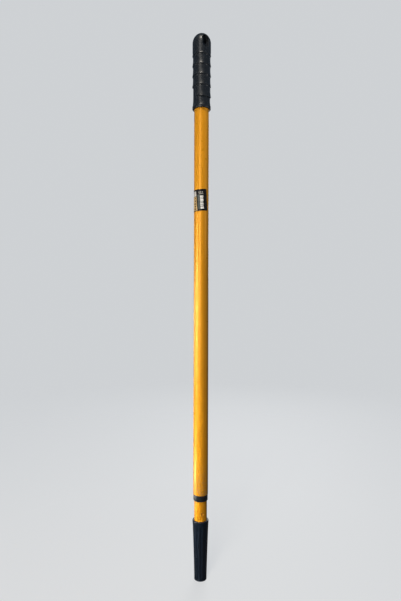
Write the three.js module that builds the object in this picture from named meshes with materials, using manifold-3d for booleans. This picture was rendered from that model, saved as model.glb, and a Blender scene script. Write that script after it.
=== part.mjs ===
// Roller extension pole: two steel tubes, one sliding in the other and held by a twist lock.
// Millimetres, +Z up the pole, origin at the centre of the flat end of the tapered tip.
// The hang slot runs along Y. Azimuth 0 is the -Y side and grows towards +X.

import * as THREE from 'three';
import { mergeVertices } from 'three/addons/utils/BufferGeometryUtils.js';
import Module from 'manifold-3d';

const wasm = await Module();
wasm.setup();

// ---- Driving dimensions ----

const OUTER_TUBE_R = 11;
const OUTER_BORE_R = 10.5;
const OUTER_TUBE_FOOT = 127.2;
const OUTER_TUBE_TOP = 785;

const INNER_TUBE_R = 9.5;
const INNER_BORE_R = 9;
const INNER_TUBE_FOOT = 83.6;
const INNER_TUBE_TOP = 630;

const SEAT_GAP = 0.05; // between two pieces of one assembly that butt together
const FIT_GAP = 0.2; // all round a plug in its tube
const RUNNING_GAP = 0.15; // all round a piece that slides or turns

const TIP_TOP = 88.8;
const TIP_END_R = 9.25;
const TIP_TOP_R = 12;
const TIP_FLUTES = 12;
const FLUTE_DEPTH = 0.55;
const FLUTE_MARGIN = 4; // the flutes stop this far from the tip's end and from its flare
const FLUTE_FADE = 7; // length over which a flute runs out
const TIP_SPIGOT_TOP = 118;
const TIP_CORE_R = 6.2;
const TIP_CORE_FLOOR = 9;

const COLLAR_FOOT = 118;
const COLLAR_R = 10.7;
const COLLAR_SPIGOT_TOP = 146;

const GRIP_FOOT = 700.9;
const GRIP_APEX = 814.8;
const GRIP_R = 14;
const GRIP_HEAD_R = 13.8;
const GRIP_CUFF_R = 13.8;
const CUFF_RIM = 705.5;
const FIRST_RIM = 719.6; // the lowest of the finger scallops' rims
const RIM_PITCH = 15.3;
const RIM_COUNT = 5;
const RIM_STEP = 1; // how far the grip steps in under a rim
const RIM_UNDERCUT = 1.2; // height of that step
const SCALLOP_MIDDLE = 0.6; // share of that step reached half-way up a scallop
const CUFF_CHAMFER = 0.8;
const DOME_HEIGHT = 15;
const HANG_SLOT_WIDTH = 9;
const HANG_SLOT_LOW = 790.1;
const HANG_SLOT_HIGH = 808.9;

const LABEL_MIDDLE = 564;
const LABEL_LENGTH = 32;
const LABEL_START = -161; // degrees of azimuth
const LABEL_END = 19;
const LABEL_TILT = 3.5; // degrees anticlockwise, as stuck on by hand
const LABEL_THICKNESS = 0.12;

const CRIMP_BALL_R = 3;
const BALL_MERIDIANS = 14;
const BALL_PARALLELS = 9;
const CRIMP_DEPTH = 1;
const TIP_CRIMP_HEIGHT = 99.5;
const PLUG_CRIMP_HEIGHT = 614;
const CRIMP_AZIMUTHS = [-10, 170];

const PLUG_FOOT = 598;
const FLANGE_R = 10.25;
const FLANGE_THICKNESS = 3.3;
const THREAD_R = 4.1; // mean radius
const THREAD_WAVE = 0.45; // crest above the mean
const THREAD_PITCH = 3;
const THREAD_GAP = 0.35;
const THREAD_STEP = 0.6; // height of one row of the thread's facets
const THREAD_FOOT = 641;
const STUD_TOP = 662.8;

const SLEEVE_FOOT = 633.8;
const SLEEVE_TOP = 657;
const SLEEVE_SLOTS = 4;
const SLOT_WIDTH = 2;
const SLOT_FLOOR = 639;

const WEDGE_FOOT = 643;
const WEDGE_TOP = 660;
const WEDGE_FOOT_R = 6.4;
const WEDGE_TOP_R = 8.9;
const KEY_WIDTH = 1.4;
const KEY_R = 10;
const KEY_FOOT = 650;

const WASHER_R = 6;
const WASHER_HOLE_R = 1.8;
const WASHER_THICKNESS = 1.2;
const SCREW_R = 1.4;
const SCREW_HEAD_R = 3;
const SCREW_HEAD_HEIGHT = 2.2;
const SCREW_FOOT = 648;
const RECESS_WIDTH = 0.7;
const RECESS_LENGTH = 3;
const RECESS_DEPTH = 1.2;

const ROUND = 48; // sides of a round section, four to each flute of the tip
const COARSE_ROUND = 36;
const SMALL_ROUND = 24;

// ---- Materials ----

const paint = { color: 0xf2a51f, roughness: 0.42, metalness: 0.1 };
const plastic = { color: 0x17181a, roughness: 0.45, metalness: 0 };
const nylon = { color: 0xd9d6cb, roughness: 0.5, metalness: 0 };
const zinc = { color: 0xb9bcc0, roughness: 0.35, metalness: 0.9 };
const vinyl = { color: 0x101114, roughness: 0.3, metalness: 0 };

const pole = new THREE.Group();

function addNode(name, geometry, look) {
  const mesh = new THREE.Mesh(geometry, new THREE.MeshStandardMaterial(look));
  mesh.name = name;
  pole.add(mesh);
}

// ---- Geometry helpers ----

// Turns a closed or axis-to-axis outline of [radius, height] pairs about Z.
function turn(outline, sides = ROUND) {
  const points = outline.map(([r, z]) => new THREE.Vector2(r, z));
  return new THREE.LatheGeometry(points, sides).rotateX(Math.PI / 2);
}

// A plain ring with a square section.
function ring(innerR, outerR, low, high, sides = ROUND) {
  return turn([[innerR, low], [outerR, low], [outerR, high], [innerR, high], [innerR, low]], sides);
}

// Moves every vertex that isPart(radius, height) picks out of a turned shape in or out, by
// offset(azimuth, height).
function modulate(geometry, isPart, offset) {
  const position = geometry.getAttribute('position');
  for (let i = 0; i < position.count; i++) {
    const x = position.getX(i);
    const y = position.getY(i);
    const z = position.getZ(i);
    const radius = Math.hypot(x, y);
    if (isPart(radius, z)) {
      const scale = (radius + offset(Math.atan2(x, -y), z)) / radius;
      position.setXY(i, x * scale, y * scale);
    }
  }
  return geometry;
}

// The closed mesh as a manifold solid, with shared vertices and no slivers at the axis.
function solid(geometry) {
  const bare = geometry.clone();
  bare.deleteAttribute('normal');
  bare.deleteAttribute('uv');
  const merged = mergeVertices(bare, 1e-4);
  const corners = merged.index.array;
  const triangles = [];
  for (let i = 0; i < corners.length; i += 3) {
    const [a, b, c] = corners.slice(i, i + 3);
    if (a !== b && b !== c && c !== a) {
      triangles.push(a, b, c);
    }
  }
  const mesh = new wasm.Mesh({
    numProp: 3,
    vertProperties: new Float32Array(merged.getAttribute('position').array),
    triVerts: new Uint32Array(triangles),
  });
  return new wasm.Manifold(mesh);
}

function toGeometry(body) {
  const mesh = body.getMesh();
  const geometry = new THREE.BufferGeometry();
  geometry.setAttribute('position', new THREE.BufferAttribute(mesh.vertProperties, 3));
  geometry.setIndex(new THREE.BufferAttribute(mesh.triVerts, 1));
  geometry.computeVertexNormals();
  return geometry;
}

// Heights from low to high in equal steps.
function steps(low, high, count) {
  return Array.from({ length: count + 1 }, (_, i) => low + ((high - low) * i) / count);
}

function degrees(angle) {
  return (angle * Math.PI) / 180;
}

// ---- Crimps: ball-punch dimples that fix a plug in the inner tube ----

function crimpBalls(height, radius) {
  const distance = INNER_TUBE_R - CRIMP_DEPTH + CRIMP_BALL_R;
  return CRIMP_AZIMUTHS.map((azimuth) => {
    const ball = new THREE.SphereGeometry(radius, BALL_MERIDIANS, BALL_PARALLELS);
    ball.translate(distance * Math.sin(degrees(azimuth)), -distance * Math.cos(degrees(azimuth)), height);
    return solid(ball);
  });
}

// ---- Outer assembly ----

function outerTube() {
  return ring(OUTER_BORE_R, OUTER_TUBE_R, OUTER_TUBE_FOOT, OUTER_TUBE_TOP);
}

// The grip's side: a cuff, then finger scallops that each flare down to a sharp rim.
function gripSide() {
  const side = [[GRIP_CUFF_R - CUFF_CHAMFER, GRIP_FOOT], [GRIP_CUFF_R, GRIP_FOOT + CUFF_CHAMFER]];
  const rims = [CUFF_RIM, ...steps(FIRST_RIM, FIRST_RIM + (RIM_COUNT - 1) * RIM_PITCH, RIM_COUNT - 1)];
  rims.slice(1).forEach((next, i) => {
    const rimR = i === 0 ? GRIP_CUFF_R : GRIP_R;
    side.push([rimR, rims[i]], [rimR - SCALLOP_MIDDLE * RIM_STEP, (rims[i] + next) / 2]);
    side.push([rimR - RIM_STEP, next - RIM_UNDERCUT]);
  });
  const headRim = rims[RIM_COUNT];
  side.push([GRIP_R, headRim], [GRIP_HEAD_R, headRim + 2 * RIM_UNDERCUT]);
  return side;
}

// The rounded head, from the side to the axis.
function gripDome() {
  const foot = GRIP_APEX - DOME_HEIGHT;
  return steps(0, 90, 7).map((angle) => {
    const r = angle === 90 ? 0 : GRIP_HEAD_R * Math.cos(degrees(angle));
    return [r, foot + DOME_HEIGHT * Math.sin(degrees(angle))];
  });
}

function hangSlot() {
  const r = HANG_SLOT_WIDTH / 2;
  const shape = new THREE.Shape();
  shape.absarc(0, HANG_SLOT_HIGH - r, r, 0, Math.PI, false);
  shape.absarc(0, HANG_SLOT_LOW + r, r, Math.PI, 2 * Math.PI, false);
  shape.closePath();
  const depth = 4 * GRIP_R;
  const bar = new THREE.ExtrudeGeometry(shape, { depth, bevelEnabled: false, curveSegments: 10 });
  return solid(bar.translate(0, 0, -depth / 2).rotateX(Math.PI / 2));
}

function grip() {
  const boreR = OUTER_TUBE_R + FIT_GAP / 2;
  const boreTop = OUTER_TUBE_TOP + 0.5;
  const outline = [[0, boreTop], [boreR, boreTop], [boreR, GRIP_FOOT], ...gripSide(), ...gripDome()];
  return toGeometry(solid(turn(outline, COARSE_ROUND)).subtract(hangSlot()));
}

function endCollar() {
  const boreR = INNER_TUBE_R + RUNNING_GAP;
  const spigotR = OUTER_BORE_R - SEAT_GAP;
  const shoulder = OUTER_TUBE_FOOT - SEAT_GAP;
  const lip = 0.8;
  return turn([
    [boreR, COLLAR_FOOT],
    [COLLAR_R - lip, COLLAR_FOOT],
    [COLLAR_R - lip / 4, COLLAR_FOOT + lip / 4],
    [COLLAR_R, COLLAR_FOOT + lip],
    [COLLAR_R, shoulder],
    [spigotR, shoulder],
    [spigotR, COLLAR_SPIGOT_TOP - lip],
    [spigotR - lip / 2, COLLAR_SPIGOT_TOP],
    [boreR, COLLAR_SPIGOT_TOP],
    [boreR, COLLAR_FOOT],
  ], COARSE_ROUND);
}

// A wrap of thin vinyl: a strip of the tube's outside, part of the way round, stuck on a little tilted.
function label() {
  const innerR = OUTER_TUBE_R + SEAT_GAP;
  const outerR = innerR + LABEL_THICKNESS;
  const shape = new THREE.Shape();
  const start = degrees(LABEL_START - 90);
  const end = degrees(LABEL_END - 90);
  shape.absarc(0, 0, outerR, start, end, false);
  shape.absarc(0, 0, innerR, end, start, true);
  shape.closePath();
  const strip = new THREE.ExtrudeGeometry(shape, {
    depth: LABEL_LENGTH,
    steps: 6,
    bevelEnabled: false,
    curveSegments: ROUND / 2,
  });
  return tilted(strip.translate(0, 0, -LABEL_LENGTH / 2), LABEL_TILT).translate(0, 0, LABEL_MIDDLE);
}

// Turns a strip on the tube about its middle, at height 0, as if it were unrolled flat.
function tilted(strip, tilt) {
  const middle = degrees((LABEL_START + LABEL_END) / 2);
  const position = strip.getAttribute('position');
  for (let i = 0; i < position.count; i++) {
    const out = new THREE.Vector2(position.getX(i), position.getY(i));
    const radius = out.length();
    const azimuth = Math.atan2(out.x, -out.y);
    const turned = Math.atan2(Math.sin(azimuth - middle), Math.cos(azimuth - middle));
    const flat = new THREE.Vector2(turned * OUTER_TUBE_R, position.getZ(i));
    flat.rotateAround(new THREE.Vector2(), degrees(tilt));
    const around = middle + flat.x / OUTER_TUBE_R;
    position.setXYZ(i, radius * Math.sin(around), -radius * Math.cos(around), flat.y);
  }
  return strip;
}

// ---- Inner assembly ----

function innerTube() {
  const rod = [[0, 0], [INNER_TUBE_R, 0], [INNER_TUBE_R, OUTER_TUBE_TOP], [0, OUTER_TUBE_TOP]];
  const bounds = solid(turn(rod));
  let tube = solid(ring(INNER_BORE_R, INNER_TUBE_R, INNER_TUBE_FOOT, INNER_TUBE_TOP));
  const wall = INNER_TUBE_R - INNER_BORE_R;
  for (const height of [TIP_CRIMP_HEIGHT, PLUG_CRIMP_HEIGHT]) {
    for (const cup of crimpBalls(height, CRIMP_BALL_R + wall)) {
      tube = tube.add(cup.intersect(bounds));
    }
    for (const dent of crimpBalls(height, CRIMP_BALL_R)) {
      tube = tube.subtract(dent);
    }
  }
  return toGeometry(tube);
}

function pocketed(body, height) {
  const clearance = INNER_TUBE_R - INNER_BORE_R + FIT_GAP;
  for (const pocket of crimpBalls(height, CRIMP_BALL_R + clearance)) {
    body = body.subtract(pocket);
  }
  return toGeometry(body);
}

// Moulded taper that pushes into a tool's handle, cored out from its spigot.
function tipCone() {
  const flareTop = TIP_TOP - 2;
  const radiusAt = (z) => TIP_END_R + (TIP_TOP_R - TIP_END_R) * (z / flareTop) ** 1.2;
  const skin = steps(3, flareTop, 9).map((z) => [radiusAt(z), z]);
  const spigotR = INNER_BORE_R - FIT_GAP;
  const socketR = INNER_TUBE_R + FIT_GAP;
  const socketFloor = INNER_TUBE_FOOT - SEAT_GAP;
  const outline = [[0, 0], [TIP_END_R - 1.2, 0], [TIP_END_R - 0.35, 0.5], [TIP_END_R - 0.05, 1.4], ...skin];
  outline.push([TIP_TOP_R - 0.4, TIP_TOP - 0.6], [TIP_TOP_R - 1.2, TIP_TOP], [socketR, TIP_TOP]);
  outline.push([socketR, socketFloor], [spigotR, socketFloor], [spigotR, TIP_SPIGOT_TOP - 1]);
  outline.push([spigotR - 1, TIP_SPIGOT_TOP], [TIP_CORE_R, TIP_SPIGOT_TOP]);
  outline.push([TIP_CORE_R, TIP_CORE_FLOOR], [0, TIP_CORE_FLOOR]);
  const fluteTop = flareTop - FLUTE_MARGIN;
  const fade = (z) => Math.min(1, (z - FLUTE_MARGIN) / FLUTE_FADE, (fluteTop - z) / FLUTE_FADE);
  const isSkin = (radius, z) => z > FLUTE_MARGIN && z < fluteTop && radius > radiusAt(z) - 0.1;
  const flute = (azimuth, z) => -FLUTE_DEPTH * fade(z) * Math.sin((TIP_FLUTES * azimuth) / 2) ** 2;
  return pocketed(solid(modulate(turn(outline), isSkin, flute)), TIP_CRIMP_HEIGHT);
}

// ---- Twist lock ----

// Radial offset of a right-hand thread's wave.
function threadWave(azimuth, z) {
  return THREAD_WAVE * Math.cos((2 * Math.PI * z) / THREAD_PITCH - azimuth);
}

function threadRows(low, high) {
  return steps(low, high, Math.round((high - low) / THREAD_STEP));
}

// Plug pressed into the inner tube's top, with a guide flange and a coarse threaded stud.
function lockPlug() {
  const bodyR = INNER_BORE_R - FIT_GAP;
  const flangeFoot = INNER_TUBE_TOP + SEAT_GAP;
  const flangeTop = INNER_TUBE_TOP + FLANGE_THICKNESS;
  const stud = threadRows(THREAD_FOOT, STUD_TOP).map((z) => [THREAD_R, z]);
  const outline = [[0, PLUG_FOOT], [bodyR - 1, PLUG_FOOT], [bodyR, PLUG_FOOT + 1], [bodyR, flangeFoot]];
  outline.push([FLANGE_R, flangeFoot], [FLANGE_R, flangeTop], [THREAD_R, flangeTop], ...stud);
  const pilotR = SCREW_R + RUNNING_GAP;
  outline.push([pilotR, STUD_TOP], [pilotR, SCREW_FOOT - 1], [0, SCREW_FOOT - 1]);
  const isStud = (radius, z) => z >= THREAD_FOOT && Math.abs(radius - THREAD_R) < 0.01;
  return pocketed(solid(modulate(turn(outline, SMALL_ROUND), isStud, threadWave)), PLUG_CRIMP_HEIGHT);
}

function wedgeRadius(z) {
  return WEDGE_FOOT_R + ((WEDGE_TOP_R - WEDGE_FOOT_R) * (z - WEDGE_FOOT)) / (SLEEVE_TOP - WEDGE_FOOT);
}

// Slotted sleeve that the wedge spreads against the outer tube's bore.
function lockSleeve() {
  const outerR = OUTER_BORE_R - RUNNING_GAP;
  const boreR = THREAD_R + THREAD_WAVE + 0.6;
  const gap = RUNNING_GAP + 0.05;
  const bevel = 0.8;
  let sleeve = solid(turn([
    [boreR, SLEEVE_FOOT],
    [outerR - bevel, SLEEVE_FOOT],
    [outerR, SLEEVE_FOOT + bevel],
    [outerR, SLEEVE_TOP],
    [wedgeRadius(SLEEVE_TOP) + gap, SLEEVE_TOP],
    [wedgeRadius(WEDGE_FOOT) + gap, WEDGE_FOOT - gap],
    [boreR, WEDGE_FOOT - gap],
    [boreR, SLEEVE_FOOT],
  ]));
  const depth = SLEEVE_TOP - SLOT_FLOOR + 1;
  for (let slot = 0; slot < SLEEVE_SLOTS / 2; slot++) {
    const blade = new THREE.BoxGeometry(SLOT_WIDTH, 3 * outerR, depth);
    blade.translate(0, 0, SLOT_FLOOR + depth / 2).rotateZ((2 * Math.PI * slot) / SLEEVE_SLOTS);
    sleeve = sleeve.subtract(solid(blade));
  }
  return toGeometry(sleeve);
}

// Tapered nut on the stud, with two keys that ride in the sleeve's slots.
function lockWedge() {
  const boreR = THREAD_R + THREAD_GAP;
  const bore = threadRows(WEDGE_FOOT, WEDGE_TOP).reverse().map((z) => [boreR, z]);
  const outline = [[WEDGE_FOOT_R, WEDGE_FOOT], [WEDGE_TOP_R, SLEEVE_TOP], [WEDGE_TOP_R, WEDGE_TOP]];
  outline.push(...bore, [WEDGE_FOOT_R, WEDGE_FOOT]);
  const isBore = (radius) => Math.abs(radius - boreR) < 0.01;
  const nut = solid(modulate(turn(outline, SMALL_ROUND), isBore, threadWave));
  const length = KEY_R - WEDGE_FOOT_R;
  const height = WEDGE_TOP - KEY_FOOT;
  return toGeometry([1, -1].reduce((body, side) => {
    const key = new THREE.BoxGeometry(KEY_WIDTH, length, height);
    key.translate(0, side * (KEY_R - length / 2), KEY_FOOT + height / 2);
    return body.add(solid(key));
  }, nut));
}

function stopWasher() {
  const low = STUD_TOP + SEAT_GAP;
  return ring(WASHER_HOLE_R, WASHER_R, low, low + WASHER_THICKNESS, SMALL_ROUND);
}

// Pan-head screw with a cross recess, down the middle of the stud.
function stopScrew() {
  const seat = STUD_TOP + WASHER_THICKNESS + 2 * SEAT_GAP;
  const top = seat + SCREW_HEAD_HEIGHT;
  const outline = [[0, SCREW_FOOT], [SCREW_R, SCREW_FOOT + 2], [SCREW_R, seat], [SCREW_HEAD_R, seat]];
  outline.push([SCREW_HEAD_R, seat + 0.9], [SCREW_HEAD_R * 0.8, top - 0.4]);
  outline.push([SCREW_HEAD_R * 0.4, top], [0, top]);
  let screw = solid(turn(outline, SMALL_ROUND));
  for (const quarter of [0, Math.PI / 2]) {
    const blade = new THREE.BoxGeometry(RECESS_WIDTH, RECESS_LENGTH, 2 * RECESS_DEPTH);
    screw = screw.subtract(solid(blade.translate(0, 0, top).rotateZ(quarter)));
  }
  return toGeometry(screw);
}

// ---- The pole ----

addNode('tip_cone', tipCone(), plastic);
addNode('inner_tube', innerTube(), paint);
addNode('lock_plug', lockPlug(), plastic);
addNode('lock_sleeve', lockSleeve(), nylon);
addNode('lock_wedge', lockWedge(), plastic);
addNode('stop_washer', stopWasher(), zinc);
addNode('stop_screw', stopScrew(), zinc);
addNode('end_collar', endCollar(), plastic);
addNode('outer_tube', outerTube(), paint);
addNode('tube_label', label(), vinyl);
addNode('grip', grip(), plastic);

export default pole;
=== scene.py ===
"""Roller extension pole: the visible surfaces, studio light and camera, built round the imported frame.

Lengths are millimetres unless a name says otherwise, and become metres when a mesh is made.
Azimuth 0 is the -Y side and grows towards +X, in degrees.
"""

import math

import bmesh
import bpy
import numpy as np
from mathutils import Euler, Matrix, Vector


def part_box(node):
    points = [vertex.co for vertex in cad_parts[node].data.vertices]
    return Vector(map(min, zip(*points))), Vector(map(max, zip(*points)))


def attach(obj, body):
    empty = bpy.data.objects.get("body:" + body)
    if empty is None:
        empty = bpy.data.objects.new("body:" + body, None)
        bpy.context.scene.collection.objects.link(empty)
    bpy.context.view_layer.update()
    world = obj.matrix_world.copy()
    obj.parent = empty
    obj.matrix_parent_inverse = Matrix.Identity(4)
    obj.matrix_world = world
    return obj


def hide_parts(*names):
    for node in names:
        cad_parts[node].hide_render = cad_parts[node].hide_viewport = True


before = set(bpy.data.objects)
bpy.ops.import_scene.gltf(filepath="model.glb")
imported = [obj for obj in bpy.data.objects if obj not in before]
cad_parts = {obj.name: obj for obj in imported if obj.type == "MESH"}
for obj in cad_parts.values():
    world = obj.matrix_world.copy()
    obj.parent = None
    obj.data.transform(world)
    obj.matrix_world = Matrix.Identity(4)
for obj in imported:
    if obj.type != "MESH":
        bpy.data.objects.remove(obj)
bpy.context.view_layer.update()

MM = 0.001


def span(node):
    """Foot, top and outer radius of a round CAD node."""
    low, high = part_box(node)
    return low.z / MM, high.z / MM, high.x / MM


_, TIP_SPIGOT_TOP, TIP_R = span("tip_cone")
INNER_FOOT, INNER_TOP, INNER_R = span("inner_tube")
COLLAR_FOOT, COLLAR_TOP, COLLAR_R = span("end_collar")
OUTER_FOOT, OUTER_TOP, OUTER_R = span("outer_tube")
GRIP_FOOT, GRIP_APEX, GRIP_R = span("grip")
LABEL_LOWEST, LABEL_HIGHEST, _ = span("tube_label")

WALL = 0.5
# Clearances: where two pieces butt together, round a plug in its tube, and round a piece that slides.
SEAT_GAP = 0.05
FIT_GAP = 0.2
RUNNING_GAP = 0.15
INNER_BORE_R = INNER_R - WALL
OUTER_BORE_R = OUTER_R - WALL

# ---- Camera and light ----

CAMERA_AZIMUTH = -28
CAMERA_DISTANCE = 718.6
CAMERA_HEIGHT = 416
CAMERA_LENS = 28.75
CAMERA_PAN = 0.07
CAMERA_ROLL = 0.15


def around(azimuth, distance, height):
    """The point at that azimuth, distance from the pole's axis and height, in metres."""
    angle = math.radians(azimuth)
    return Vector((distance * math.sin(angle), -distance * math.cos(angle), height)) * MM


def add_camera():
    data = bpy.data.cameras.new("camera")
    data.lens = CAMERA_LENS
    camera = bpy.data.objects.new("camera", data)
    camera.location = around(CAMERA_AZIMUTH, CAMERA_DISTANCE, CAMERA_HEIGHT)
    aim = Euler((math.pi / 2, 0, math.radians(CAMERA_AZIMUTH + CAMERA_PAN))).to_matrix()
    roll = Euler((0, 0, math.radians(CAMERA_ROLL))).to_matrix()
    camera.rotation_euler = (aim @ roll).to_euler()
    bpy.context.scene.collection.objects.link(camera)
    bpy.context.scene.camera = camera


WHITE = (1, 1, 1)
SUNNY = (1, 0.93, 0.82)
ALL_ROUND = 180


def softbox(name, azimuth, distance, height, aim_height, size, watts, colour=WHITE, spread=ALL_ROUND):
    """A rectangular light that faces the pole at aim_height. One with a narrow spread misses the floor."""
    data = bpy.data.lights.new(name, "AREA")
    data.shape = "RECTANGLE"
    data.size = size[0] * MM
    data.size_y = size[1] * MM
    data.energy = watts
    data.color = colour
    data.spread = math.radians(spread)
    lamp = bpy.data.objects.new(name, data)
    lamp.location = around(azimuth, distance, height)
    aim = Vector((0, 0, aim_height * MM)) - lamp.location
    lamp.rotation_euler = aim.to_track_quat("-Z", "Y").to_euler()
    if spread < ALL_ROUND:
        lamp.light_linking.receiver_collection = off_floor()
    bpy.context.scene.collection.objects.link(lamp)


def off_floor():
    """The collection that stands for everything but the floor. The floor is made before the lights."""
    name = "off the floor"
    if name not in bpy.data.collections:
        lit = bpy.data.collections.new(name)
        lit.objects.link(bpy.data.objects["floor"])
        lit.collection_objects[0].light_linking.link_state = "EXCLUDE"
    return bpy.data.collections[name]


def add_lights():
    """A warm key and a high sun from the left, with small cards that shape the pole's edges and foot."""
    softbox("key", -50, 1500, 600, 450, (300, 900), 9.1, SUNNY)
    softbox("sun", -38, 803, 1907, 700, (220, 220), 11.8, SUNNY)
    softbox("left", -94, 1000, 450, 300, (260, 420), 0.68, spread=60)
    softbox("low left", -94, 1000, 240, 60, (260, 420), 0.6, spread=45)
    softbox("card", -124, 330, 12, 190, (160, 100), 0.09, spread=50)
    softbox("back left", -140, 900, 330, 300, (200, 300), 0.1, spread=40)
    softbox("head", -50, 1000, 1250, 900, (300, 300), 0.04, spread=30)
    softbox("right", 40, 1000, 700, 800, (300, 300), 0.1, spread=30)
    softbox("rear", 142, 1600, 900, 400, (900, 900), 7)


# ---- Materials ----


class Shader:
    """One procedural material, built from short calls that each add a node."""

    def __init__(self, name, **uniform):
        self.material = bpy.data.materials.new(name)
        self.material.use_nodes = True
        self.tree = self.material.node_tree
        self.surface = self.tree.nodes["Principled BSDF"]
        self.place = self.tree.nodes.new("ShaderNodeTexCoord").outputs["Object"]
        self.normal = None
        for socket, value in uniform.items():
            self.surface.inputs[socket.replace("_", " ")].default_value = value

    def node(self, kind, inputs, **settings):
        made = self.tree.nodes.new("ShaderNode" + kind)
        for key, value in settings.items():
            setattr(made, key, value)
        for key, value in inputs.items():
            self.feed(made.inputs[key], value)
        return made

    def feed(self, socket, value):
        if isinstance(value, bpy.types.NodeSocket):
            self.tree.links.new(value, socket)
        else:
            socket.default_value = value

    def stretched(self, along):
        """The place with Z scaled, so that a pattern runs along the pole for along < 1."""
        return self.node("Mapping", {"Vector": self.place, "Scale": (1, 1, along)}).outputs[0]

    def noise(self, size, detail=2.0, place=None):
        """Soft noise from 0 to 1 with features of that size."""
        inputs = {"Vector": place or self.place, "Scale": 1 / (size * MM), "Detail": detail}
        return self.node("TexNoise", inputs).outputs["Fac"]

    def cells(self, size):
        """Distance to the nearest of randomly placed points that far apart."""
        inputs = {"Vector": self.place, "Scale": 1 / (size * MM)}
        return self.node("TexVoronoi", inputs).outputs["Distance"]

    def ramp(self, value, start, end, low=0.0, high=1.0):
        """Goes from low to high as value goes from start to end."""
        inputs = {0: value, 1: start, 2: end, 3: low, 4: high}
        return self.node("MapRange", inputs, clamp=True).outputs[0]

    def math(self, operation, a, b):
        return self.node("Math", {0: a, 1: b}, operation=operation).outputs[0]

    def height(self):
        """Height up the pole in mm."""
        z = self.node("SeparateXYZ", {0: self.place}).outputs["Z"]
        return self.math("DIVIDE", z, MM)

    def mix(self, share, a, b):
        """Colour a, with that share of colour b."""
        a, b = ((*c, 1) if isinstance(c, tuple) else c for c in (a, b))
        return self.node("Mix", {0: share, 6: a, 7: b}, data_type="RGBA").outputs[2]

    def attribute(self, name):
        return self.node("Attribute", {}, attribute_name=name).outputs["Fac"]

    def bump(self, value, depth):
        """Adds relief of that depth to the surface, over what was added before."""
        inputs = {"Height": value, "Distance": depth * MM, "Strength": 1.0}
        if self.normal:
            inputs["Normal"] = self.normal
        self.normal = self.node("Bump", inputs).outputs[0]

    def finish(self, colour, roughness, **others):
        self.feed(self.surface.inputs["Base Color"], colour)
        self.feed(self.surface.inputs["Roughness"], roughness)
        for socket, value in others.items():
            self.feed(self.surface.inputs[socket], value)
        self.feed(self.surface.inputs["Normal"], self.normal)
        return self.material


HANDLED_REACH = 26


def paint(name, foot, top, sliding):
    """Satin orange-yellow powder coat on steel. sliding is how far its length shows rub marks, 0 to 1."""
    s = Shader(name, IOR=1.5, Specular_Tint=(1, 0.92, 0.55, 1))
    cloud = s.ramp(s.noise(70, 3), 0.3, 0.7)
    mottle = s.ramp(s.noise(2.2, 3), 0.35, 0.68)
    colour = s.mix(cloud, (0.80, 0.315, 0.009), (0.86, 0.35, 0.011))
    colour = s.mix(s.math("MULTIPLY", mottle, 0.25), colour, (0.68, 0.255, 0.010))
    height = s.height()
    near_foot = s.ramp(height, foot + HANDLED_REACH, foot)
    near_top = s.ramp(height, top - HANDLED_REACH, top)
    handled = s.math("ADD", s.math("MAXIMUM", near_foot, near_top), sliding)
    scratch = s.ramp(s.noise(0.5, 4, s.stretched(0.02)), 0.66, 0.72)
    rubbed = s.math("MULTIPLY", scratch, s.math("MULTIPLY", handled, 0.5))
    colour = s.mix(rubbed, colour, (0.93, 0.62, 0.22))
    scuff = s.ramp(s.noise(2.0, 5), 0.60, 0.68)
    scuff = s.math("MULTIPLY", scuff, s.math("MULTIPLY", handled, 0.28))
    colour = s.mix(scuff, colour, (0.55, 0.16, 0.004))
    speck = s.ramp(s.cells(4.5), 0.075, 0.045)
    colour = s.mix(s.math("MULTIPLY", speck, 0.55), colour, (0.24, 0.10, 0.02))
    chip = s.math("MULTIPLY", s.attribute("edge"), s.ramp(s.noise(1.6, 3), 0.5, 0.56))
    colour = s.mix(chip, colour, (0.32, 0.31, 0.30))
    roughness = s.ramp(s.noise(9, 4), 0.3, 0.7, 0.27, 0.40)
    s.bump(s.noise(1.1, 1.5), 0.035)
    s.bump(s.math("ADD", rubbed, chip), -0.015)
    return s.finish(colour, roughness, Metallic=s.ramp(chip, 0, 1, 0.15, 0.9))


# The default colour is black with a painted blue cast of reflected light.
def moulded(name, colour=(0.0065, 0.0085, 0.0115), dusty=1.0):
    """Black moulded plastic, by default with a painted blue cast of reflected light: fine spark grain, faint
    flow marks, rubbed edges, dust and light scratches.
    """
    s = Shader(name, IOR=1.5)
    flow = s.ramp(s.noise(14, 3, s.stretched(0.4)), 0.3, 0.7)
    tint = s.mix(flow, colour, tuple(c * 1.4 for c in colour))
    dust = s.ramp(s.noise(2.2, 7), 0.52, 0.74, 0, 0.26 * dusty)
    tint = s.mix(dust, tint, (0.043, 0.046, 0.048))
    edge = s.math("MULTIPLY", s.attribute("edge"), s.ramp(s.noise(1.6, 4), 0.42, 0.66, 0, 0.35))
    tint = s.mix(edge, tint, (0.07, 0.07, 0.072))
    scratch = s.ramp(s.noise(0.5, 3, s.stretched(0.05)), 0.70, 0.74, 0, 0.3)
    tint = s.mix(scratch, tint, (0.10, 0.10, 0.10))
    roughness = s.ramp(s.noise(3, 5), 0.3, 0.7, 0.27, 0.36)
    roughness = s.math("ADD", roughness, s.math("MULTIPLY", dust, 0.6))
    s.bump(s.noise(0.28, 2), 0.012)
    s.bump(s.noise(3.2, 2), 0.02)
    s.bump(scratch, -0.015)
    return s.finish(tint, roughness)


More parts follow.
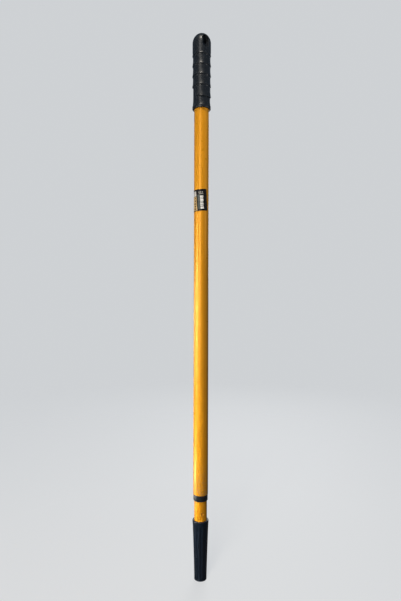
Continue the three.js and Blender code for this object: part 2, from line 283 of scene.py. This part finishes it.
def print_ink(name, colour, faded):
    """One colour of the sticker's print, under a semi-gloss film with rub marks."""
    s = Shader(name, IOR=1.46, Specular_IOR_Level=0.2)
    wear = s.ramp(s.noise(1.3, 6), 0.56, 0.70, 0, 0.5)
    tint = s.mix(s.ramp(s.noise(8, 3), 0.3, 0.7), colour, tuple(c * 0.85 for c in colour))
    tint = s.mix(wear, tint, faded)
    scratch = s.ramp(s.noise(0.4, 3, s.stretched(0.05)), 0.68, 0.72, 0, 0.5)
    tint = s.mix(s.math("MULTIPLY", scratch, 0.5), tint, faded)
    s.bump(s.noise(5, 2), 0.03)
    s.bump(scratch, -0.01)
    return s.finish(tint, s.ramp(s.noise(2.5, 4), 0.3, 0.7, 0.22, 0.38))


def natural_nylon(name):
    """Off-white unfilled nylon with flow marks and a film of dark grease."""
    s = Shader(name, IOR=1.53, Subsurface_Weight=0.15, Subsurface_Scale=0.001)
    flow = s.ramp(s.noise(2.5, 3, s.stretched(0.3)), 0.35, 0.65)
    tint = s.mix(flow, (0.66, 0.63, 0.54), (0.74, 0.72, 0.65))
    grease = s.ramp(s.noise(3.5, 6), 0.55, 0.72, 0, 0.6)
    tint = s.mix(grease, tint, (0.20, 0.17, 0.12))
    s.bump(s.noise(0.5, 2), 0.015)
    s.bump(flow, 0.02)
    return s.finish(tint, s.ramp(grease, 0, 0.6, 0.46, 0.22))


def zinc_plate(name):
    """Zinc-plated steel: bright, faintly blue and yellow, with fine drawn lines."""
    s = Shader(name, Metallic=1.0)
    tint = s.mix(s.ramp(s.noise(1.8, 3), 0.35, 0.65), (0.58, 0.60, 0.64), (0.66, 0.64, 0.55))
    dull = s.ramp(s.noise(0.9, 5), 0.52, 0.70, 0, 0.6)
    tint = s.mix(dull, tint, (0.34, 0.34, 0.33))
    s.bump(s.noise(0.12, 2, s.stretched(8)), 0.008)
    return s.finish(tint, s.ramp(dull, 0, 0.6, 0.24, 0.5))


# ---- Mesh helpers ----

SHARP_ANGLE = math.radians(38)
WORN_FROM = math.radians(7)
WORN_FULLY = math.radians(24)
MERGE_DISTANCE = 1e-6
SIDES = 120


def smooth(low, high, value):
    """0 below low, 1 above high, with a smooth step between."""
    t = min(1, max(0, (value - low) / (high - low)))
    return t * t * (3 - 2 * t)


def apart(azimuth, other):
    """Degrees between two azimuths."""
    return abs((azimuth - other + 180) % 360 - 180)


def even(count):
    """Azimuths of that many equal columns."""
    return [360 * i / count for i in range(count)]


def denser(centres, half_width, step, count=SIDES):
    """Azimuths of even columns, with columns step apart within half_width of each centre."""
    near = round(half_width / step)
    fine = [(c + step * i) % 360 for c in centres for i in range(-near, near + 1)]
    coarse = [a for a in even(count) if all(apart(a, c) > half_width + step / 2 for c in centres)]
    return sorted(fine + coarse)


def levels(*stops):
    """Heights from stop to stop: levels(a, step, b, step, c) goes from a to c."""
    heights = [stops[0]]
    for step, end in zip(stops[1::2], stops[2::2]):
        count = max(1, round(abs(end - heights[-1]) / step))
        heights += list(np.linspace(heights[-1], end, count + 1)[1:])
    return heights


def eased(corners, closed=False, segments=4):
    """An outline of (radius, height[, rounding]) corners, with each rounding as a short curve."""
    points = []
    count = len(corners)
    for i, (r, z, *rounding) in enumerate(corners):
        if not rounding:
            points.append((r, z))
            continue
        corner = Vector((r, z))
        before = Vector(corners[i - 1][:2])
        after = Vector(corners[(i + 1) % count][:2])
        start, end = (corner + (p - corner).normalized() * rounding[0] for p in (before, after))
        for k in range(segments + 1):
            t = k / segments
            points.append(tuple((1 - t) ** 2 * start + 2 * t * (1 - t) * corner + t * t * end))
    return points + points[:1] if closed else points


def grid_faces(rows, columns, wrap):
    """Quads between neighbouring rows of a grid whose columns close on themselves if wrap is set."""
    last = columns if wrap else columns - 1
    for i in range(rows - 1):
        for j in range(last):
            k = (j + 1) % columns
            yield i * columns + j, i * columns + k, (i + 1) * columns + k, (i + 1) * columns + j


def mark_edges(mesh):
    """Stores how sharply each vertex stands out, 0 to 1, as the attribute that wear follows."""
    bm = bmesh.new()
    bm.from_mesh(mesh)
    bends = []
    for vertex in bm.verts:
        angles = [e.calc_face_angle_signed(0) for e in vertex.link_edges if len(e.link_faces) == 2]
        bends.append(max(angles, default=0))
    bm.free()
    values = np.clip((np.array(bends) - WORN_FROM) / (WORN_FULLY - WORN_FROM), 0, 1)
    mesh.attributes.new("edge", "FLOAT", "POINT").data.foreach_set("value", values.astype(np.float32))


def settle(mesh):
    """Merges doubled vertices and points every face out."""
    bm = bmesh.new()
    bm.from_mesh(mesh)
    bmesh.ops.remove_doubles(bm, verts=bm.verts, dist=MERGE_DISTANCE)
    bmesh.ops.dissolve_degenerate(bm, edges=bm.edges, dist=MERGE_DISTANCE / 10)
    bmesh.ops.recalc_face_normals(bm, faces=bm.faces)
    bm.to_mesh(mesh)
    bm.free()


def make_piece(name, vertices, faces, materials, body, node, chosen=()):
    """A piece that rides on body, takes its finish from materials and stands for the CAD node.

    chosen gives the first faces' places in materials.
    """
    mesh = bpy.data.meshes.new(name)
    mesh.from_pydata([Vector(v) * MM for v in vertices], [], faces)
    for face, index in zip(mesh.polygons, chosen):
        face.material_index = index
    settle(mesh)
    for material in materials:
        mesh.materials.append(material)
    piece = bpy.data.objects.new(name, mesh)
    bpy.context.scene.collection.objects.link(piece)
    finish_mesh(piece)
    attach(piece, body)
    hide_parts(node)
    return piece


def finish_mesh(piece):
    mark_edges(piece.data)
    piece.data.shade_smooth()
    piece.data.set_sharp_from_angle(angle=SHARP_ANGLE)


def turned(profile, azimuths):
    """Vertices and faces of a solid turned about Z. profile(azimuth) is its section there.

    The section runs from axis to axis, or round a closed ring, with as many points at every azimuth.
    """
    sections = [profile(a) for a in azimuths]
    rows = len(sections[0])
    vertices = []
    for i in range(rows):
        for azimuth, section in zip(azimuths, sections):
            r, z = section[i]
            angle = math.radians(azimuth)
            vertices.append((r * math.sin(angle), -r * math.cos(angle), z))
    return vertices, list(grid_faces(rows, len(azimuths), True))


# ---- Pieces of the outer pole ----

# Finger scallops between sharp rims.
RIM_PITCH = 15.3
CUFF_RIM = GRIP_APEX - 109.3
FIRST_RIM = GRIP_APEX - 95.2
RIMS = [FIRST_RIM + i * RIM_PITCH for i in range(5)]
RIM_STEP = 1.0
UNDERCUT = 1.2
FLARE_POWER = 3.2
RIM_ROUNDING = 0.12
# The lowest scallop hangs in a tongue at the front. Its edge rises from APRON_TONGUE to APRON_BACK degrees.
APRON_HANG = 2.0
APRON_EDGE = 0.55
APRON_TONGUE = 47
APRON_BACK = 107
APRON_BACK_GAP = 0.7
# Head, cuff and neck.
HEAD_R = GRIP_R - 0.2
CUFF_R = GRIP_R - 0.2
CUFF_STEP = 0.35
NECK_R = GRIP_R - 1.4
NECK_ROWS = 14
DOME_HEIGHT = 15
DOME_STEP = 1.5
# Marks of the mould: its parting seam, in mm high and degrees wide, and its gate's dimple.
SEAM_HEIGHT = 0.07
SEAM_WIDTH = 1.6
SEAM_AZIMUTHS = (90, 270)
GATE_R = 1.5
GATE_DEPTH = 0.38
# The hang slot, and the soft dip of the skin round its mouths.
SLOT_AZIMUTHS = (0, 180)
SLOT_R = 4.5
SLOT_LOW = GRIP_APEX - 24.7
SLOT_HIGH = GRIP_APEX - 5.9
SLOT_LIP = 1.4
SLOT_DIP = 1.0
SLOT_DIP_LOST = 0.75
# The bore that the tube is pushed into.
GRIP_BORE_R = OUTER_R + FIT_GAP / 2
GRIP_BORE_TOP = OUTER_TOP + 0.5
MOUTH_BEVEL = 0.5
# Rows of a scallop, as shares of the way from its foot to the rim above it.
SKIN_SHARES = (0, 0.02, 0.05, 0.08, 0.12, 0.17, 0.25, 0.35, 0.45,
               0.55, 0.65, 0.75, 0.85, 0.92, 0.945, 0.965, 0.985)


def apron_foot(azimuth):
    """Height of the grip body's lower edge: it hangs down in a tongue at the front."""
    low = RIMS[0] - APRON_HANG
    high = RIMS[1] - APRON_BACK_GAP
    return low + (high - low) * smooth(APRON_TONGUE, APRON_BACK, apart(azimuth, 0))


def scallop(height, foot, top):
    """Radius of the scallop between two rims: it curves in upwards, then steps out under the top rim."""
    if height > top - UNDERCUT:
        return GRIP_R - RIM_STEP * (1 - smooth(top - UNDERCUT, top, height))
    rise = max(0, height - foot) / (top - UNDERCUT - foot)
    return GRIP_R - RIM_STEP * (1 - (1 - rise) ** FLARE_POWER)


def slot_dip(x, height):
    """How far the head's skin falls in towards the hang slot's mouth: less at its top, on the dome."""
    middle = min(max(height, SLOT_LOW + SLOT_R), SLOT_HIGH - SLOT_R)
    gap = math.hypot(x, height - middle) - SLOT_R
    if gap > SLOT_LIP:
        return 0
    fade = 1 - SLOT_DIP_LOST * smooth(SLOT_HIGH - 2 * SLOT_R, SLOT_HIGH - 3, height)
    return SLOT_DIP * fade * (1 - max(gap, 0) / SLOT_LIP) ** 2


def grip_profile(azimuth):
    """Bore, cuff and neck, then the apron and the scallops above it, then the head."""
    section = grip_lower(azimuth)
    edge = apron_foot(azimuth)
    for rim, top in zip(RIMS, RIMS[1:]):
        foot = edge if rim == RIMS[0] else rim
        for share in SKIN_SHARES:
            height = foot + share * (top - foot)
            drawn_in = RIM_ROUNDING if share == 0 else 0
            section.append((scallop(height, min(foot, rim), top) - drawn_in, height))
    section += grip_head()
    return [finish_skin(azimuth, r, z) for r, z in section]


def grip_lower(azimuth):
    """Bore, mouth, cuff and neck, up to the step out at the apron's edge."""
    edge = apron_foot(azimuth)
    mouth_r = GRIP_BORE_R + MOUTH_BEVEL
    section = [(0, GRIP_BORE_TOP), (GRIP_BORE_R - 1, GRIP_BORE_TOP), (GRIP_BORE_R, GRIP_BORE_TOP - 1)]
    section += [(GRIP_BORE_R, GRIP_FOOT + MOUTH_BEVEL + 0.1), (mouth_r, GRIP_FOOT)]
    section += eased([(mouth_r + 0.5, GRIP_FOOT), (CUFF_R - 0.1, GRIP_FOOT, 1), (CUFF_R, CUFF_RIM - 0.4)])
    neck_foot_r = CUFF_R - CUFF_STEP
    low = CUFF_RIM + CUFF_STEP
    section += [(CUFF_R - 0.05, CUFF_RIM), (neck_foot_r, low)]
    for row in range(1, NECK_ROWS + 1):
        height = low + row / NECK_ROWS * (edge - 0.5 - low)
        share = (height - CUFF_RIM) / (RIMS[1] - CUFF_RIM)
        section.append((NECK_R + (neck_foot_r - NECK_R) * (1 - share) ** 6, height))
    step = scallop(edge, min(edge, RIMS[0]), RIMS[1])
    section += [(step - APRON_EDGE, edge - 0.3), (step - 0.1, edge - 0.14)]
    return section


def grip_head():
    """The smooth head above the top rim, closed by a dome with a moulding gate's dimple."""
    rim = RIMS[-1]
    foot = GRIP_APEX - DOME_HEIGHT
    section = [(GRIP_R - 0.1, rim), (GRIP_R - 0.02, rim + 0.2), (GRIP_R - 0.06, rim + 0.5)]
    section += [(HEAD_R - 0.2, rim + 1.9), (HEAD_R - 0.25, rim + 2.6)]
    section += [(HEAD_R, z) for z in levels(rim + 6, 0.5, foot)]
    for angle in np.radians(np.arange(DOME_STEP, 84, DOME_STEP)):
        section.append((HEAD_R * math.cos(angle), foot + DOME_HEIGHT * math.sin(angle)))
    gate_floor = GRIP_APEX - GATE_DEPTH
    section += [(GATE_R, GRIP_APEX - 0.1), (GATE_R - 0.2, gate_floor + 0.03), (0.6, gate_floor)]
    section += [(0.5, GRIP_APEX - 0.15), (0, GRIP_APEX - 0.12)]
    return section


def finish_skin(azimuth, r, z):
    """Adds the mould's parting seam and the soft lip of the hang slot to a point of the skin."""
    if r < NECK_R or z < CUFF_RIM - 2:
        return r, z
    gap = min(apart(azimuth, seam) for seam in SEAM_AZIMUTHS)
    r = min(r + SEAM_HEIGHT * max(0, 1 - gap / SEAM_WIDTH), GRIP_R)
    x = r * math.sin(math.radians(azimuth))
    if z > SLOT_LOW - SLOT_LIP and abs(x) < SLOT_R + SLOT_LIP:
        r -= slot_dip(x, z)
    return r, z


def slot_cutter():
    """A bar along Y with round ends to its section, which cuts the hang slot."""
    outline = []
    for middle, start in ((SLOT_HIGH - SLOT_R, 0), (SLOT_LOW + SLOT_R, 180)):
        for angle in np.radians(np.linspace(start, start + 180, 25)):
            outline.append((SLOT_R * math.cos(angle), middle + SLOT_R * math.sin(angle)))
    depth = 2 * GRIP_R
    vertices = [(x, side * depth, z) for side in (-1, 1) for x, z in outline]
    count = len(outline)
    faces = [tuple(range(count))[::-1], tuple(range(count, 2 * count))]
    faces += [(i, (i + 1) % count, (i + 1) % count + count, i + count) for i in range(count)]
    return vertices, faces


def add_grip():
    seam_sides = [seam + side * SEAM_WIDTH / 2 for seam in SEAM_AZIMUTHS for side in (-1, 1)]
    azimuths = sorted({*denser(SLOT_AZIMUTHS, 30, 1.25, 144), *seam_sides})
    vertices, faces = turned(grip_profile, azimuths)
    coat = moulded("grip_plastic")
    piece = make_piece("grip_moulding", vertices, faces, [coat], "outer_pole", "grip")
    cutter_mesh = bpy.data.meshes.new("cutter")
    vertices, faces = slot_cutter()
    cutter_mesh.from_pydata([Vector(v) * MM for v in vertices], [], faces)
    settle(cutter_mesh)
    cutter = bpy.data.objects.new("cutter", cutter_mesh)
    bpy.context.scene.collection.objects.link(cutter)
    cut = piece.modifiers.new("hang slot", "BOOLEAN")
    cut.operation = "DIFFERENCE"
    cut.object = cutter
    cut.solver = "EXACT"
    apply_modifiers(piece)
    bpy.data.objects.remove(cutter)
    finish_mesh(piece)


def apply_modifiers(piece):
    """Swaps the piece's mesh for what its modifiers make of it, less the edge attribute, now out of date."""
    graph = bpy.context.evaluated_depsgraph_get()
    mesh = bpy.data.meshes.new_from_object(piece.evaluated_get(graph))
    piece.modifiers.clear()
    piece.data = mesh
    if "edge" in mesh.attributes:
        mesh.attributes.remove(mesh.attributes["edge"])


TUBE_LIP = 0.14


def tube_section(bore, radius, heights):
    """A tube's wall, with its ends' corners rounded and rows at the heights."""
    foot, top = heights[0], heights[-1]
    outside = [(radius, z) for z in heights[1:-1]]
    inside = [(bore, z) for z in reversed(heights[1:-1])]
    corners = [(bore, foot, TUBE_LIP), (radius, foot, TUBE_LIP), *outside]
    corners += [(radius, top, TUBE_LIP), (bore, top, TUBE_LIP), *inside]
    return eased(corners, closed=True, segments=3)


def add_outer_tube():
    heights = levels(OUTER_FOOT, 60, OUTER_TOP)
    section = tube_section(OUTER_BORE_R, OUTER_R, heights)
    vertices, faces = turned(lambda azimuth: section, even(SIDES))
    coat = paint("outer_paint", OUTER_FOOT, OUTER_TOP, 0.12)
    make_piece("painted_outer_tube", vertices, faces, [coat], "outer_pole", "outer_tube")


def add_collar():
    bore = INNER_R + RUNNING_GAP
    seat = OUTER_FOOT - SEAT_GAP
    spigot = OUTER_BORE_R - SEAT_GAP
    lip = COLLAR_R - 0.02
    corners = [
        (bore, COLLAR_FOOT, 0.4),
        (lip, COLLAR_FOOT, 1.1),
        (lip, seat, 0.25),
        (spigot, seat),
        (spigot, COLLAR_TOP, 0.5),
        (bore, COLLAR_TOP, 0.3),
    ]
    section = eased(corners, closed=True, segments=5)
    vertices, faces = turned(lambda azimuth: section, even(SIDES))
    coat = moulded("bush_plastic")
    make_piece("guide_bush", vertices, faces, [coat], "outer_pole", "end_collar")


# ---- The printed sticker ----

# From LABEL_START to LABEL_END in azimuth, through the front.
LABEL_START = -161
LABEL_END = 19
LABEL_TILT = math.radians(3.5)
LABEL_THICKNESS = 0.12
LABEL_R = OUTER_R + SEAT_GAP + LABEL_THICKNESS
LABEL_ROUNDING = 1.2
LABEL_WIDTH = math.radians(LABEL_END - LABEL_START) * OUTER_R
LABEL_LENGTH = 32

# Each ink's fresh colour and its rubbed one.
INKS = {
    "black": ((0.007, 0.0065, 0.006), (0.05, 0.05, 0.048)),
    "white": ((0.92, 0.89, 0.83), (0.45, 0.44, 0.41)),
    "cream": ((0.62, 0.58, 0.52), (0.30, 0.28, 0.26)),
    "grey": ((0.14, 0.165, 0.15), (0.06, 0.06, 0.06)),
    "tan": ((0.62, 0.42, 0.18), (0.36, 0.25, 0.12)),
    "brown": ((0.10, 0.04, 0.015), (0.2, 0.12, 0.06)),
}


def print_layout():
    """The print as (ink, left, right, low, high) on the unrolled sticker, later ones on top."""
    panels = [("cream", 1, 17.9, 22.2, 29.6), ("tan", 1, 18.3, 1.2, 21.4), ("grey", 20.6, 22.2, 2.6, 24.0)]
    return panels + panel_rows(3, 14.0, 2.2) + blocks(23.6, 2.8) + squares_and_line(22.2, 24.7)


def panel_rows(left, square_left, low):
    """Rows of a brown bar and a square on the tan panel."""
    rows = []
    for row in range(5):
        foot = low + 4.0 * row
        rows.append(("brown", square_left, square_left + 2.4, foot, foot + 2.2))
        rows.append(("brown", left, left + 9.2 - 1.7 * (row % 2), foot + 0.6, foot + 1.7))
    return rows


def blocks(left, low):
    """A column of plain white blocks of uneven length."""
    column = []
    for length in (3.3, 1.6, 2.5, 1.6, 3.0, 1.8, 2.2):
        width = 4.5 if length < 2 else 5.0
        column.append(("white", left, left + width, low, low + length))
        low += length + 0.6
    return column


def squares_and_line(left, low):
    """A plain row of squares over a thin line."""
    squares = [("cream", left + 2.5 * i, left + 2.5 * i + 1.3, low + 1.8, low + 3.7) for i in range(3)]
    return [("cream", left, left + 6.6, low, low + 0.7), *squares]


def grid_lines(length, edges, step):
    """Sorted grid lines from 0 to length: the print's edges, the corners' curve and even lines."""
    corner = [LABEL_ROUNDING * (1 - math.cos(math.radians(a))) for a in (22.5, 45, 67.5, 90)]
    lines = [0, length, *edges, *corner, *(length - c for c in corner)]
    fixed = sorted(set(lines))
    for value in np.arange(step, length, step):
        if min(abs(value - f) for f in fixed) > step / 2:
            lines.append(float(value))
    return sorted(set(lines))


def ink_at(layout, u, v):
    """The ink that is printed last at that point of the sticker."""
    covering = [ink for ink, left, right, low, high in layout if left < u < right and low < v < high]
    return covering[-1] if covering else "black"


def rounded_in(v):
    """How far the sticker's side edges move in at height v, to round its corners."""
    depth = min(v, LABEL_LENGTH - v)
    if depth >= LABEL_ROUNDING:
        return 0
    return LABEL_ROUNDING - math.sqrt(LABEL_ROUNDING**2 - (LABEL_ROUNDING - depth) ** 2)


def stuck_on(u, v, radius):
    """The place on the tube of a point of the unrolled sticker, which is stuck on a little tilted."""
    across, up = u - LABEL_WIDTH / 2, v - LABEL_LENGTH / 2
    turned_by = (across * math.cos(LABEL_TILT) - up * math.sin(LABEL_TILT)) / OUTER_R
    height = (LABEL_LOWEST + LABEL_HIGHEST) / 2 + across * math.sin(LABEL_TILT) + up * math.cos(LABEL_TILT)
    angle = math.radians((LABEL_START + LABEL_END) / 2) + turned_by
    return radius * math.sin(angle), -radius * math.cos(angle), height


def film_faces(rows, columns):
    """Faces of a thin film: a front grid, then the same grid behind it, then the rim between them."""
    front = list(grid_faces(rows, columns, False))
    layer = rows * columns
    back = [tuple(i + layer for i in reversed(face)) for face in front]
    rim = list(range(columns))
    rim += [i * columns + columns - 1 for i in range(1, rows)]
    rim += [(rows - 1) * columns + j for j in reversed(range(columns - 1))]
    rim += [i * columns for i in reversed(range(1, rows - 1))]
    sides = [(b, a, a + layer, b + layer) for a, b in zip(rim, rim[1:] + rim[:1])]
    return front + back + sides


def add_label():
    layout = print_layout()
    us = grid_lines(LABEL_WIDTH, [e for _, left, right, *_ in layout for e in (left, right)], 0.9)
    vs = grid_lines(LABEL_LENGTH, [e for *_, low, high in layout for e in (low, high)], 2.5)
    columns, rows = len(us), len(vs)
    vertices = []
    for radius in (LABEL_R, LABEL_R - LABEL_THICKNESS):
        for v in vs:
            inset = rounded_in(v)
            vertices += [stuck_on(min(max(u, inset), LABEL_WIDTH - inset), v, radius) for u in us]
    faces = film_faces(rows, columns)
    centres = [((a + b) / 2, (c + d) / 2) for c, d in zip(vs, vs[1:]) for a, b in zip(us, us[1:])]
    chosen = [list(INKS).index(ink_at(layout, u, v)) for u, v in centres]
    inks = [print_ink(f"label_{name}", *INKS[name]) for name in INKS]
    make_piece("printed_label", vertices, faces, inks, "outer_pole", "tube_label", chosen)


# ---- Pieces of the inner pole ----

# Punched dimples that fix the tip and the lock's plug in the inner tube.
CRIMP_HEIGHTS = (99.5, 614)
CRIMP_AZIMUTHS = (-10, 170)
CRIMP_DEPTH = 1.25
CRIMP_REACH = 2.4
CRIMP_ROW = 0.3
POCKET_SCALE = 1.15


def crimp_dent(azimuth, height, radius):
    """Depth of a crimp's dimple at that place on the tube, or 0 away from them all."""
    depth = 0
    for centre in CRIMP_AZIMUTHS:
        across = math.radians(apart(azimuth, centre)) * radius
        for level in CRIMP_HEIGHTS:
            gap = math.hypot(across, height - level)
            if gap < CRIMP_REACH:
                depth = CRIMP_DEPTH * (0.5 + 0.5 * math.cos(math.pi * gap / CRIMP_REACH)) ** 0.8
    return depth


def crimped(section):
    """A profile function that dents the section's points by the crimps."""
    def profile(azimuth):
        return [(r - crimp_dent(azimuth, z, r), z) for r, z in section]
    return profile


def add_inner_tube():
    reach = CRIMP_REACH + CRIMP_ROW
    low, high = CRIMP_HEIGHTS
    foot_to_low = (INNER_FOOT, 5, low - reach, CRIMP_ROW, low + reach)
    high_to_top = (high - reach, CRIMP_ROW, high + reach, 10, INNER_TOP)
    heights = levels(*foot_to_low, 80, *high_to_top)
    section = tube_section(INNER_BORE_R, INNER_R, heights)
    azimuths = denser([a % 360 for a in CRIMP_AZIMUTHS], 18, 1.5, 96)
    vertices, faces = turned(crimped(section), azimuths)
    coat = paint("inner_paint", INNER_FOOT, INNER_TOP, 0.35)
    make_piece("painted_inner_tube", vertices, faces, [coat], "inner_pole", "inner_tube")


# The tapered tip. FLUTE_TURN is in degrees, and CORE sizes are those of the hollow inside it.
TIP_TOP = COLLAR_FOOT - 29.2
TIP_END_R = 9.25
FLUTES = 12
FLUTE_TURN = 8
FLUTE_DEPTH = 0.75
TIP_CURVE = 1.2
CORE_R = 6.2
CORE_FLOOR = 9


def tip_profile(azimuth):
    """The taper with its flutes, then the spigot with the crimps' pockets, then the cored-out middle."""
    flare = TIP_TOP - 2
    section = eased([(0, 0), (TIP_END_R - 1.3, 0), (TIP_END_R - 0.3, 0, 0.4), (TIP_END_R - 0.1, 0.4)])
    for z in levels(0.5, 0.5, 6, 2.5, flare - 11, 0.6, flare):
        share = smooth(0.4, 4, z) * (1 - smooth(flare - 10, flare - 2, z))
        radius = TIP_END_R + (TIP_R - TIP_END_R) * (z / flare) ** TIP_CURVE
        groove = math.sin(math.radians(FLUTES * (azimuth + FLUTE_TURN) / 2)) ** 2
        section.append((radius - FLUTE_DEPTH * share * groove**0.8, z))
    socket = INNER_R + FIT_GAP
    spigot = INNER_BORE_R - FIT_GAP
    seat = INNER_FOOT - SEAT_GAP
    crimp = CRIMP_HEIGHTS[0]
    section += eased([(TIP_R, flare), (TIP_R, TIP_TOP, 1.1), (socket, TIP_TOP, 0.4), (socket, seat)])
    section += [(spigot, z) for z in (seat, *levels(crimp - 3.5, 0.4, crimp + 3.5))]
    section += eased([(spigot, TIP_SPIGOT_TOP, 1), (CORE_R, TIP_SPIGOT_TOP, 0.5), (CORE_R, CORE_FLOOR + 2)])
    section += [(CORE_R - 1, CORE_FLOOR), (0, CORE_FLOOR)]
    return [(r - POCKET_SCALE * crimp_dent(azimuth, z, r), z) for r, z in section]


def add_tip():
    vertices, faces = turned(tip_profile, even(12 * FLUTES))
    # Navy-black and darker than the other plastics: painted shade and a painted blue cast of light reflected
    # from dark blue surroundings.
    coat = moulded("tip_plastic", colour=(0.002, 0.006, 0.013), dusty=0.3)
    make_piece("fluted_tip", vertices, faces, [coat], "inner_pole", "tip_cone")


# ---- Lock parts that keep their CAD shape ----


def dress(node, material):
    """Gives a CAD node that material and the attribute for its worn edges."""
    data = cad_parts[node].data
    mark_edges(data)
    data.materials.clear()
    data.materials.append(material)


# ---- Floor and backdrop ----

FLOOR_R = 4
FLOOR_FADE = (0.4, 1.8)
FLOOR_GLOW = 0.57
BACKDROP = (0.62, 0.64, 0.66, 1)
FILL = (0.72, 0.95, 1.25, 1)
FILL_STRENGTH = 0.134


def add_floor():
    """A plain pale floor that fades into the backdrop, and is darker to everything but the camera.

    Its sizes are in metres.
    """
    bpy.ops.mesh.primitive_circle_add(vertices=96, radius=FLOOR_R, fill_type="NGON")
    floor = bpy.context.object
    floor.name = "floor"
    s = Shader("pale_floor")
    seen = s.node("LightPath", {}).outputs["Is Camera Ray"]
    distance = s.node("VectorMath", {0: s.place}, operation="LENGTH").outputs["Value"]
    s.feed(s.surface.inputs["Base Color"], s.mix(seen, (0.10, 0.10, 0.10), (0.24, 0.24, 0.24)))
    s.feed(s.surface.inputs["Roughness"], 0.7)
    s.feed(s.surface.inputs["Emission Color"], (0.96, 0.98, 1, 1))
    s.feed(s.surface.inputs["Emission Strength"], s.math("MULTIPLY", seen, FLOOR_GLOW))
    s.feed(s.surface.inputs["Alpha"], s.ramp(distance, *FLOOR_FADE, 1, 0))
    floor.data.materials.append(s.material)


def add_world():
    """Pale to the eye and dim as a light, so that the softboxes shape the pole."""
    world = bpy.data.worlds.new("studio")
    world.use_nodes = True
    nodes = world.node_tree.nodes
    links = world.node_tree.links
    seen = nodes["Background"]
    seen.inputs["Color"].default_value = BACKDROP
    lit = nodes.new("ShaderNodeBackground")
    lit.inputs["Color"].default_value = FILL
    lit.inputs["Strength"].default_value = FILL_STRENGTH
    path = nodes.new("ShaderNodeLightPath")
    choice = nodes.new("ShaderNodeMixShader")
    links.new(path.outputs["Is Camera Ray"], choice.inputs[0])
    links.new(lit.outputs[0], choice.inputs[1])
    links.new(seen.outputs[0], choice.inputs[2])
    links.new(choice.outputs[0], nodes["World Output"].inputs[0])
    bpy.context.scene.world = world
    bpy.context.scene.view_settings.view_transform = "Standard"


add_camera()
add_floor()
add_world()
add_lights()
add_grip()
add_outer_tube()
add_collar()
add_label()
add_inner_tube()
add_tip()
dress("lock_plug", moulded("plug_plastic"))
dress("lock_wedge", moulded("wedge_plastic"))
dress("lock_sleeve", natural_nylon("sleeve_nylon"))
dress("stop_washer", zinc_plate("washer_zinc"))
dress("stop_screw", zinc_plate("screw_zinc"))
